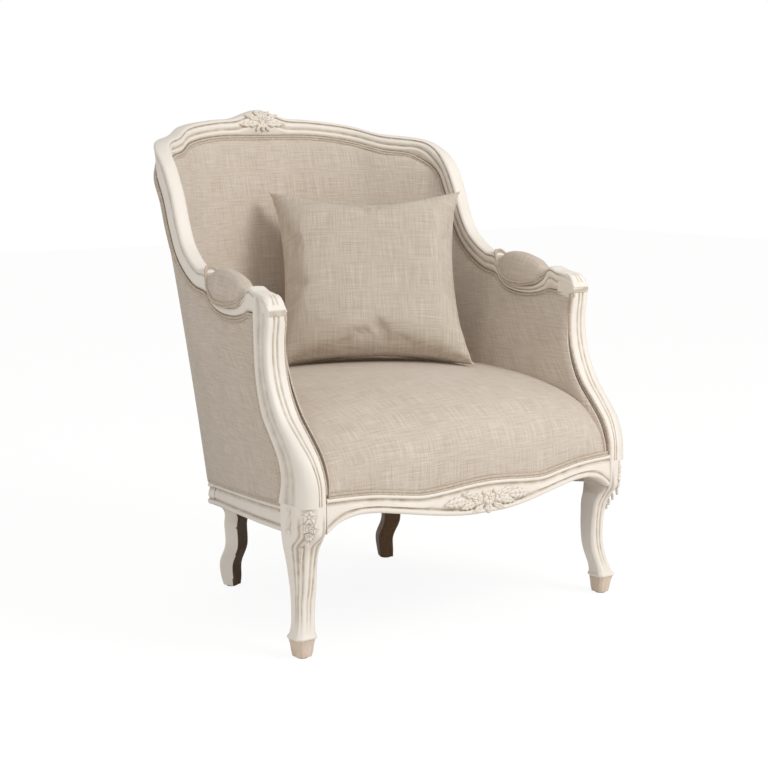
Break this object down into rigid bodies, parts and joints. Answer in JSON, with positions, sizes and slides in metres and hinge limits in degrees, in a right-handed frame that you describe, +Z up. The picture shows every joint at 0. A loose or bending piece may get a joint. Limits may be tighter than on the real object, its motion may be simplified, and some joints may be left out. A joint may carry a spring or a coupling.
{
  "type": "bergere chair",
  "caption": "Upholstered armchair with a curved gondola back, carved cabriole legs, padded arms and a loose cushion.",
  "frame": {"origin": "on the floor under the middle of the chair's bounding box", "axes": "+X to the right as seen from the front (the sitter's left), +Y to the back, +Z up"},
  "size_m": [0.786, 0.788, 0.97],
  "materials": {
    "painted_wood": "aged cream paint",
    "stained_wood": "brown stain",
    "beech": "raw beech",
    "linen": "slubbed greige linen",
    "foam": "open-cell foam and wadding",
    "webbing": "jute webbing",
    "screw_steel": "zinc plated",
    "felt": "pressed felt",
    "dust_cloth": "thin black cambric",
    "cushion_linen": "greige linen",
    "cushion_fibre": "loose fibre"
  },
  "bodies": {
    "chair": {"front_leg_left": "painted_wood", "front_leg_right": "painted_wood", "arm_stump_left": "painted_wood", "arm_stump_right": "painted_wood", "arm_rail_left": "painted_wood", "arm_rail_right": "painted_wood", "back_post_left": "painted_wood", "back_post_right": "painted_wood", "front_seat_rail": "painted_wood", "crest_rail": "painted_wood", "side_seat_rail_left": "painted_wood", "side_seat_rail_right": "painted_wood", "back_seat_rail": "painted_wood", "rear_leg_left": "stained_wood", "rear_leg_right": "stained_wood", "side_upright_left": "beech", "side_upright_right": "beech", "back_upright_left": "beech", "back_upright_right": "beech", "corner_block_front_left": "beech", "corner_block_front_right": "beech", "corner_block_rear_left": "beech", "corner_block_rear_right": "beech", "frame_dowels": "beech", "outside_side_panel_left": "linen", "outside_side_panel_right": "linen", "inside_side_cover_left": "linen", "inside_side_cover_right": "linen", "arm_pad_left": "linen", "arm_pad_right": "linen", "outside_back_panel": "linen", "inside_back_cover": "linen", "seat_cover": "linen", "inside_side_foam_left": "foam", "inside_side_foam_right": "foam", "inside_back_foam": "foam", "seat_foam": "foam", "seat_webbing_cross": "webbing", "seat_webbing_long": "webbing", "corner_block_screws": "screw_steel", "foot_glides": "felt", "dust_cover": "dust_cloth"},
    "cushion": {"cushion_cover": "cushion_linen", "cushion_filling": "cushion_fibre"}
  },
  "joints": [
    {"name": "cushion_lift", "type": "slide", "parent": "chair", "child": "cushion", "axis": [0, 0, 1], "range_m": [0, 0.55]}
  ]
}
